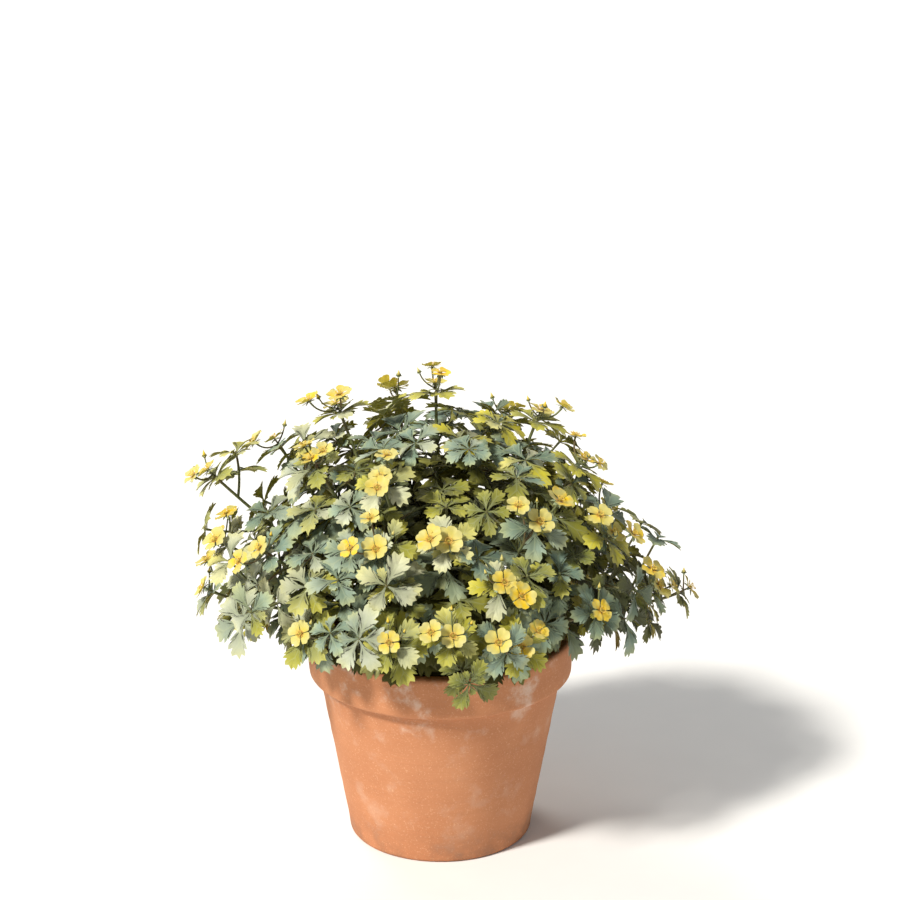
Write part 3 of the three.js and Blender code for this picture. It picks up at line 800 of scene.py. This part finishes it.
def shootAt(index, item, parent, lean):
    at = vary(sideShoot["lowest"], index, 6) + item * sideShoot["apart"]
    start = parent.curve.point(at)
    shorter = 1 - item * sideShoot["shorter"]
    reach = sideShoot["reach"] * vary(sideShoot["size"], index, 7 + item) * shorter
    toward = (parent.ring(at, radians(lean)).corners[0] - start).normalized()
    curve = Curve(
        start,
        start + toward * reach * 0.55 + parent.curve.tangent(at) * reach * 0.35,
        start + toward * reach * 0.85 + outwardAt(start - ground) * reach * 0.8,
    )
    stalk = Stalk(curve, sideShoot["sides"], sideShoot["radii"])
    size = vary(sideShoot["whorlSize"], index, 13 + item)
    stalk.grow(sideShoot["inner"], 0, size, True)
    stalk.grow(1, 0, size, False)
    return stalk


def bloomAt(curve, index, item, radius):
    stalk = Stalk(curve, spray["sides"], (spray["radius"], spray["radius"]))
    stalk.grow(1, 0, radius, False, bloom["hub"])
    stalk.whorls[0].lift = radians(vary(bloom["cup"], index, item))
    return stalk


def neckAt(index, parent):
    axis = parent.curve.tangent(1)
    base = parent.curve.point(1) + axis * (leaf["hub"] / 2 + spray["gap"])
    length = vary(spray["neck"], index, 20)
    radius = bloom["radius"] * vary(spray["neckBloom"], index, 22)
    neck = bloomAt(Curve(base, base + axis * length), index, 21, radius)
    neck.fork = base + axis * length * spray["fork"]
    return neck


def pedicelAt(index, i, parent, fork, turn, share):
    plain = draw(index, 23) * 360 + i * vary(spray["apart"], index, 24)
    radius = bloom["radius"] * vary(spray["sideBloom"], index, 30 + i)
    reach = spray["pedicel"] * vary(spray["reach"], index, 25 + i) * share
    ring = parent.ring(1, radians(plain + turn))
    toward = (ring.corners[0] - ring.centre).normalized() * reach
    rising = (up * 0.35 + parent.curve.tangent(1)).normalized()
    curve = Curve(fork, fork + toward * 0.62, fork + toward * 0.8 + rising * reach * 0.6)
    return bloomAt(curve, index, 33 + i, radius)


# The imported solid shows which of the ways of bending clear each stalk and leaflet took
rootTries = (0, 7, -7, 14, -14, 21, -21, 28, -28, 36, -36, 44, -44, 55, -55)
sideTries = (0, 25, -25, 50, -50, 80, -80, 120, -120, 160)
leafTries = ((0, 1), (16, 1), (-16, 1), (30, 0.9), (-30, 0.9), (0, 0.72), (26, 0.72), (-26, 0.72))
sprayTurns = (0, 24, -24, 48, -48, 72, -72, 96, -96, 130, -130, 170)
sprayTries = [(turn, share) for share in (1, 0.8, 1.2, 0.62) for turn in sprayTurns]
cadLeaflet = ((0.68, -0.5), (0.76, -0.25), (1, 0), (0.76, 0.25), (0.68, 0.5))
cadPlain = ((0.66, -0.5), (1, 0), (0.66, 0.5))
cadPetal = ((0.9, -0.5), (bloom["notch"], 0), (0.9, 0.5))


def solidTree(node):
    vertices = frame["nodes"][node].data.vertices
    tree = KDTree(len(vertices))
    for i, vertex in enumerate(vertices):
        tree.insert(vertex.co * metre, i)
    tree.balance()
    return tree


def holds(tree, points, tolerance=0.06):
    return all(tree.find(point)[2] < tolerance for point in points)


def outlinePoints(spot, outline, length, width, lift, droop=0, fold=0):
    for x, y in outline:
        x, y = x * length, y * width
        rise = x * sin(lift) - droop * x * x / length + fold * abs(y)
        yield spot.start + spot.out * x * cos(lift) + spot.along * y + spot.axis * rise


def petalPoints(whorl):
    for side in range(whorl.stalk.sides):
        yield from outlinePoints(whorl.spot(side), cadPetal, whorl.size, whorl.size, whorl.lift)


def findLeaflets(solid, stalk, whorl, index, item):
    bigSide = floor(draw(index, item) * stalk.sides)
    outline = cadPlain if whorl.plain else cadLeaflet
    for side in range(stalk.sides):
        apart = 2 * pi * (side - bigSide) / stalk.sides
        size = whorl.size * mix(0.78, 1, (1 + cos(apart)) / 2)
        plain = radians(vary(leaf["lift"], index, item * 10 + side))
        spot = whorl.spot(side)
        for bend, share in leafTries:
            length = leaf["length"] * size * share
            lift = plain + radians(bend)
            width = length * leaf["width"]
            if holds(solid, outlinePoints(spot, outline, length, width, lift, leaf["droop"], leaf["fold"])):
                whorl.grown[side] = (spot, length, lift)
                break


def findPlant():
    plant = []
    for index, (tip, bloomCount, leans) in enumerate(stems):
        green = solidTree(f"leafy_stem_{index + 1:02d}")
        yellow = solidTree(f"flower_spray_{index + 1:02d}")
        tried = (stemAt(index, tip, turn) for turn in rootTries)
        main = next(one for one in tried if holds(green, one.ring(one.low).corners))
        shoots = []
        for item, lean in enumerate(leans):
            for turn in sideTries:
                shoot = shootAt(index, item, main, lean + turn)
                if holds(green, shoot.whorls[0].lower.corners):
                    shoots.append(shoot)
                    break
        for depth in range(1, stem["whorls"] + 1):
            findLeaflets(green, main, main.whorls[-depth], index, 40 + depth)
        for i, shoot in enumerate(shoots):
            for k, whorl in enumerate(shoot.whorls):
                findLeaflets(green, shoot, whorl, index, 60 - 10 * k + i)
        blooms = [neckAt(index, main)]
        for i in range(1, bloomCount):
            for turn, share in sprayTries:
                stalk = pedicelAt(index, i, main, blooms[0].fork, turn, share)
                if holds(yellow, petalPoints(stalk.whorls[0])):
                    blooms.append(stalk)
                    break
        plant.append({"main": main, "shoots": shoots, "blooms": blooms})
    return plant


plant = findPlant()
leafWhorls = [whorl for one in plant for stalk in (one["main"], *one["shoots"]) for whorl in stalk.whorls]
print("leaflets found:", sum(len(whorl.grown) for whorl in leafWhorls))
print("blooms found:", sum(len(one["blooms"]) for one in plant))


# Tones by place: painted shade, dark inside the mound, and a painted highlight, pale where the light falls
# on it
sunWay = Vector((-0.72, -0.42, 0.55)).normalized()


def toneAt(place, first, second, own=0.5):  # two draws for the whole whorl, and one for the leaflet's depth
    at = place - ground
    share = hypot(*(value / size for value, size in zip((at.x, at.y, max(at.z, 0)), mound["size"])))
    sunny = max(outwardAt(at).dot(sunWay), 0)
    first %= 1
    outerHue = mix(first * 0.9, 0.73 + 0.25 * second, ease(0.47, 0.58, first))
    # Inside the mound the hue turns olive, the colour of the painted shade there.
    hue = mix(0.84, outerHue, ease(0.62, 0.9, share))
    # The depth is painted shade near the mound's middle and a painted highlight where its surface faces the
    # sun, with a random part for each leaflet.
    depth = mix(0.04, 0.38 + 0.42 * sunny + 0.34 * (second - 0.4), ease(0.6, 0.96, share))
    return hue, depth + 0.42 * (own - 0.5)


def addRosette(form, centre, axis, right, count, length, lift, seed):
    first, second = draw(seed, 3), draw(seed, 4)
    for k in range(count):
        angle = 2 * pi * (k + 0.3 * (draw(seed, 20 + k) - 0.5)) / count
        out = fan(right, axis.cross(right), angle)
        addBlade(
            form, youngBlades[k % 2], Spot(centre + out * 0.5, out, axis),
            length * vary((0.72, 1.12), seed, 40 + k), lift + radians(vary((-14, 14), seed, 90 + k)),
            toneAt(centre, first + 0.12 * draw(seed, 30 + k), second, draw(seed, 35 + k)),
            droop=vary((0.2, 0.5), seed, 50 + k), fold=vary((0.08, 0.3), seed, 60 + k),
            twist=vary((-0.25, 0.25), seed, 70 + k), ripple=0.02, width=vary((0.82, 1.02), seed, 80 + k),
        )


# Leafy stems: a knotted stalk with its side shoots, hairs, leaflets and the stipules between them
fine = {
    "sides": 8, "rings": 30, "peak": 0.9, "slimmer": 0.86, "knot": 0.35, "knotLength": 1.2,
    "shootSides": 6, "shootRings": 12, "shootPeak": 0.7,
}
hair = {"perStem": 130, "perBloom": 26, "length": 0.9, "spread": (0.6, 1.1), "lean": 0.25, "radius": 0.035}
stipule = {"missing": 0.45, "length": (0.36, 0.56), "lift": (4, 34)}
yellowGreenStems = (1, 6, 8, 15, 16, 19, 24, 26)  # stems with more yellow-green leaves, counted from 1; their yellow-green is partly the leaves' own tone and partly painted light, standing for sun shining through them


def addTube(form, curve, low, high, rings, sides, radius, peak=0.0):
    places = [mix(low, high, i / (rings - 1)) for i in range(rings)]
    sections = [Ring(curve, t, 0, sides, radius(t)) for t in places]
    points = [corner for section in sections for corner in section.corners]
    if peak:
        points.append(sections[-1].centre + sections[-1].axis * peak)
    form.add(points, lathe(rings, sides, bool(peak)), "stalk")


def knotted(stalk):  # the stalk's radius along its curve, with knots at its whorls
    def radius(t):
        reach = stalk.curve.length / fine["knotLength"]
        knots = sum(exp(-(((t - one.at) * reach) ** 2)) for one in stalk.whorls)
        return stalk.radiusAt(t) * fine["slimmer"] * (1 + fine["knot"] * min(knots, 1))
    return radius


def addHairs(form, curve, low, high, count, radius, seed):
    for k in range(count):
        centre, axis = curve.beyond(vary((low, high), seed, 3 * k + 1))
        side = axis.orthogonal().normalized()
        side.rotate(Matrix.Rotation(draw(seed, 3 * k + 2) * 2 * pi, 3, axis))
        foot = centre + side * radius * 0.8
        tip = foot + side * hair["length"] * vary(hair["spread"], seed, 3 * k) + axis * hair["lean"]
        across = axis.cross(side) * hair["radius"]
        back = foot - axis * hair["radius"]
        points = (foot + axis * hair["radius"], back + across, back - across, tip)
        form.add(points, [(0, 1, 3), (1, 2, 3), (2, 0, 3), (2, 1, 0)], "stalk")


def addLeaflets(form, whorl, seed, yellowGreen):
    first, second = draw(seed, 1), draw(seed, 2)
    if yellowGreen:
        first = 0.6 + 0.26 * first
    for side, (spot, length, lift) in whorl.grown.items():
        shape = leafletBlades[int(draw(seed, 50 + side) * len(leafletBlades))]
        addBlade(
            form, shape, spot, length, lift,
            toneAt(whorl.upper.centre, first + 0.14 * draw(seed, 10 + side), second, draw(seed, 15 + side)),
            droop=leaf["droop"], fold=leaf["fold"] + vary((-0.04, 0.1), seed, 20 + side), ripple=0.018,
            twist=vary((-0.14, 0.14), seed, 30 + side), width=vary((0.84, 0.98), seed, 40 + side),
        )
    sides = whorl.stalk.sides
    for side in range(sides):
        if draw(seed, 60 + side) < stipule["missing"]:
            continue
        spot = whorl.spot(side).turned(pi / sides, 0.5)
        length = leaf["length"] * whorl.size * vary(stipule["length"], seed, 70 + side)
        lift = radians(vary(stipule["lift"], seed, 80 + side))
        tone = toneAt(whorl.lower.centre, first + 0.2, second * 0.8)
        shape = youngBlades[side % 2]
        addBlade(form, shape, spot, length, lift, tone, droop=0.3, fold=0.25, twist=0.1, width=0.85)


def makeStem(index, grown):
    form = Form(f"leafyStem_{index + 1:02d}", "leaf", "stalk")
    main = grown["main"]
    addTube(form, main.curve, main.low, 1.005, fine["rings"], fine["sides"], knotted(main), fine["peak"])
    addHairs(form, main.curve, 0.1, 1.0, hair["perStem"], main.radii[1], index + 1)
    yellowGreen = index + 1 in yellowGreenStems
    for i, whorl in enumerate(main.whorls):
        addLeaflets(form, whorl, index * 7 + i + 100, yellowGreen)
    for i, shoot in enumerate(grown["shoots"]):
        rings, sides = fine["shootRings"], fine["shootSides"]
        addTube(form, shoot.curve, 0, 1.02, rings, sides, knotted(shoot), fine["shootPeak"])
        addHairs(form, shoot.curve, 0.1, 1.0, hair["perStem"] // 3, shoot.radii[1], index + 41 + i)
        for k, whorl in enumerate(shoot.whorls):
            addLeaflets(form, whorl, index * 7 + i + 400 + 200 * k, yellowGreen)
    form.make(f"leafy_stem_{index + 1:02d}")


for index, grown in enumerate(plant):
    makeStem(index, grown)
print("leafy stems made")


# Flowers: four petals over a green cup, stamens round a dome of carpels, and buds beside them
stamen = {"count": 16, "circle": 0.95, "length": 1.75, "lean": 0.55, "radius": 0.06, "anther": 0.27}
carpel = {"count": 15, "circle": 0.75, "rise": 0.62, "radius": 0.24, "length": 0.8}
sepals = {"turns": (pi / 4, 0.0), "sizes": (0.7, 0.56), "drops": (0.14, 0.3), "droop": 0.22}
bud = {"length": 4.2, "stalk": 9.5, "radii": (0.42, 0.36), "width": 0.24, "lean": 0.42, "lift": 1.12}
bract = {"count": 3, "length": 4.2, "lift": 0.2}


def addKnob(form, finishName, centre, axis, side, radius, length, tone, along=0.0):  # a small pointed lump
    front = axis.cross(side)
    points = [centre - axis * length * 0.45, centre + axis * length * 0.55]
    points += [centre + way * radius for way in (side, front, -side, -front)]
    faces = [(1, 2 + k, 2 + (k + 1) % 4) for k in range(4)]
    faces += [(0, 2 + (k + 1) % 4, 2 + k) for k in range(4)]
    form.add(points, faces, finishName, tone, np.full((6, 3), (along, 0, 0)))


def addPetals(form, whorl, seed):
    fading = draw(seed, 1)
    for side in range(whorl.stalk.sides):
        spot = whorl.spot(side)
        length = whorl.size * vary((0.95, 1.04), seed, 10 + side)
        tone = (draw(seed, 14 + side), fading)
        addBlade(
            form, petalBlades[side % 2], spot, length, whorl.lift, tone, "petal", twist=0.16, ripple=0.045,
            droop=vary((-0.12, 0.22), seed, 2 + side), width=vary((0.94, 1.14), seed, 6 + side),
        )
        for turn, size, drop in zip(sepals["turns"], sepals["sizes"], sepals["drops"]):
            cup, length, lift = spot.turned(turn, 0.5), whorl.size * size, whorl.lift - drop
            addBlade(form, sepalBlade, cup, length, lift, (0.5, 0.5), droop=sepals["droop"])


def addHeart(form, eye, seed):
    for k in range(stamen["count"]):
        out = eye.way(2 * pi * (k + 0.3 * draw(seed, 30 + k)) / stamen["count"])
        foot = eye.centre + out * stamen["circle"] * 0.6
        rise = stamen["length"] * vary((0.75, 1.15), seed, 50 + k)
        top = foot + eye.axis * rise + out * rise * stamen["lean"]
        way = (top - foot).normalized()
        side = way.cross(out).normalized()
        length = (top - foot).length
        addKnob(form, "heart", (foot + top) / 2, way, side, stamen["radius"], length, (0, 0, 1))
        addKnob(form, "heart", top, way, side, stamen["anther"], stamen["anther"] * 3, (0, 0, 1))
    for k in range(carpel["count"]):
        share = sqrt((k + 0.5) / carpel["count"])
        out = eye.way(k * goldenAngle)
        rise = eye.axis * carpel["rise"] * (1.3 - share * share)
        place = eye.centre + out * carpel["circle"] * share + rise
        way = (eye.axis + out * share).normalized()
        side = eye.front.cross(eye.axis)
        addKnob(form, "heart", place, way, side, carpel["radius"], carpel["length"], (0, 0, 0))


def addBud(form, base, way, seed):
    length = bud["stalk"] * vary((0.7, 1.2), seed, 1)
    curve = Curve(base, base + way * length * 0.6, base + way * length * 0.8 + up * length * 0.4)
    addTube(form, curve, 0, 1, 6, 5, lambda t: mix(*bud["radii"], t))
    centre, axis = curve.beyond(1)
    side = axis.orthogonal().normalized()
    size = bud["length"] * vary((0.7, 1.1), seed, 2)
    middle = centre + axis * size * 0.45
    addKnob(form, "petal", middle, axis, side, size * bud["width"], size, (0, 0.3, 1), 0.8)
    for k, angle in enumerate(turns(8)):  # shorter and longer sepals by turns
        out = fan(side, axis.cross(side), angle)
        share, droop = (0.82, 0.75) if k % 2 else (0.7, 0.35)
        addBlade(
            form, sepalBlade, Spot(centre + out * 0.2, out, axis), size * share, bud["lift"], (0.45, 0.5),
            droop=droop, fold=0.2, width=1.2,
        )


def makeSpray(index, grown):
    form = Form(f"flowerSpray_{index + 1:02d}", "petal", "stalk", "heart", "leaf")
    for i, stalk in enumerate(grown["blooms"]):
        addTube(
            form, stalk.curve, -0.4 / stalk.curve.length, 1.0, 10, 6,
            lambda t: spray["radius"] * mix(0.72, 0.9, ease(0.7, 1.0, t)),
        )
        addHairs(form, stalk.curve, 0.05, 0.95, hair["perBloom"], spray["radius"] * 0.6, index * 3 + i + 81)
        addPetals(form, stalk.whorls[0], index * 3 + i + 500)
        addHeart(form, stalk.ring(1), index * 3 + i + 500)
    neck = grown["blooms"][0]
    axis = neck.curve.tangent(0)
    side = neck.curve.across()
    addRosette(form, neck.fork, axis, side, bract["count"], bract["length"], bract["lift"], index + 700)
    for k in range(1 + index % 2):
        way = Vector(side)
        between = floor(draw(index, 200 + k) * 4) * pi / 2  # buds stand between the neck's petals
        way.rotate(Matrix.Rotation(between, 3, axis))
        addBud(form, neck.fork + axis * 0.3, (way + axis * bud["lean"]).normalized(), index + 800 + 40 * k)
    form.make(f"flower_spray_{index + 1:02d}")


for index, grown in enumerate(plant):
    makeSpray(index, grown)
print("flower sprays made")


# Young shoots fill the mound between the big stems, each from the nearest stem below it
young = {
    "tries": 1000, "pieces": 6, "shells": (0.93, 0.78, 0.6), "unevenness": (0.94, 1.04), "spacing": 14,
    "lowest": -0.04, "low": (20, 40), "hollow": (0, -50, 102), "hollowSize": 25,
    "rootSpan": (0.12, 0.8), "rootsPerStem": 14, "radius": 0.55, "wander": 0.7,
    "leaf": 16, "size": (0.78, 1.15), "lift": 0.24, "second": 0.5, "secondAt": 0.62, "secondLift": 0.4,
}


def findYoung():
    taken = [whorl.upper.centre for whorl in leafWhorls]
    roots = [
        (one["main"].curve.point(t), one["main"].curve.tangent(t))
        for one in plant
        for t in np.linspace(*young["rootSpan"], young["rootsPerStem"])
    ]
    hollow = Vector(young["hollow"]) + ground
    shoots = []
    for i in range(young["tries"]):
        height = mix(young["lowest"], 1, (i + 0.5) / young["tries"])
        x, y = polar(sqrt(max(1 - height * height, 0)), i * goldenAngle)
        shell = young["shells"][i % len(young["shells"])] * vary(young["unevenness"], i, 5)
        lowest = mix(*young["low"], ease(0.0, 0.8, -y))
        wide, deep, tall = mound["size"]
        at = Vector((wide * x * shell, deep * y * shell, max(tall * height * shell, lowest))) + ground
        if (at - hollow).length < young["hollowSize"]:
            continue
        if any((at - other).length < young["spacing"] for other in taken):
            continue
        taken.append(at)
        below = [root for root in roots if root[0].z < at.z - 4 or at.xy.length > 60]
        point, way = min(below, key=lambda root: (root[0] - at).length + 0.6 * abs(root[0].z - at.z + 18))
        shoots.append((i, at, point, way))
    return shoots


def makeYoung(name, shoots):
    form = Form(name, "leaf", "stalk")
    for i, at, base, way in shoots:
        aside = Vector((draw(i, 6) - 0.5, draw(i, 7) - 0.5, draw(i, 8) - 0.4)) * young["wander"]
        axis = (outwardAt(at - ground) + aside).normalized()
        span = (at - base).length
        curve = Curve(base, base + way * span * 0.5, at - axis * span * 0.35, at)
        addTube(form, curve, 0, 1, 12, 5, lambda t: young["radius"] * mix(1, 0.75, t))
        length = young["leaf"] * vary(young["size"], i, 9)
        count = 5 + int(draw(i, 10) * 3)
        addRosette(form, at, axis, curve.across(), count, length, young["lift"], i + 1000)
        if draw(i, 11) < young["second"]:
            middle, axis = curve.beyond(young["secondAt"])
            addRosette(form, middle, axis, curve.across(), 3, length * 0.8, young["secondLift"], i + 2000)
    form.make()


shoots = findYoung()
for k in range(young["pieces"]):
    makeYoung(f"youngShoots_{k + 1:02d}", shoots[k::young["pieces"]])
print("young shoots made:", len(shoots))


# Floor, lights and camera
studio = {"floor": 30.0, "air": (0.97, 0.985, 1.0), "light": 0.3}
lamps = {
    "keyLamp": {"place": (-1.1, -1.0, 1.6), "angle": 9, "power": 4.0, "colour": (1.0, 0.96, 0.88)},
    "backLamp": {"place": (-0.8, 1.3, 1.5), "angle": 24, "power": 1.0, "colour": (1.0, 0.97, 0.9)},
}
view = {
    "lens": 100, "sensor": 36, "distance": 1.2, "elevation": 18, "aim": (4.8, 0, 196.8), "clipEnd": 100
}


def look(piece, place, target):
    piece.location = place
    piece.rotation_euler = (Vector(target) - Vector(place)).to_track_quat("-Z", "Y").to_euler()


def makeStage():
    half = studio["floor"]
    mesh = bpy.data.meshes.new("paleFloor")
    corners = [(-half, -half, 0), (half, -half, 0), (half, half, 0), (-half, half, 0)]
    mesh.from_pydata(corners, [], [(0, 1, 2, 3)])
    mesh.materials.append(floorFinish())
    shown("paleFloor", mesh)
    for name, lamp in lamps.items():
        light = bpy.data.lights.new(name, "SUN")
        light.angle = radians(lamp["angle"])
        light.energy = lamp["power"]
        light.color = lamp["colour"]
        look(shown(name, light), lamp["place"], (0, 0, pot["height"] / metre))
    world = bpy.data.worlds.new("studioAir")
    world.use_nodes = True
    air = world.node_tree.nodes["Background"].inputs
    air["Color"].default_value = (*studio["air"], 1)
    air["Strength"].default_value = studio["light"]
    bpy.context.scene.world = world
    bpy.context.scene.view_settings.view_transform = "Standard"


def makeCamera():
    camera = bpy.data.cameras.new("mainCamera")
    camera.lens = view["lens"]
    camera.sensor_width = view["sensor"]
    camera.clip_end = view["clipEnd"]
    aim = Vector(view["aim"]) / metre
    tilt = radians(view["elevation"])
    piece = shown("mainCamera", camera)
    look(piece, aim + Vector((0, -cos(tilt), sin(tilt))) * view["distance"], aim)
    bpy.context.scene.camera = piece


for stray in [one for one in bpy.data.objects if one.name in ("Cube", "Light", "Camera")]:
    bpy.data.objects.remove(stray)
makeStage()
makeCamera()
print("scene made")
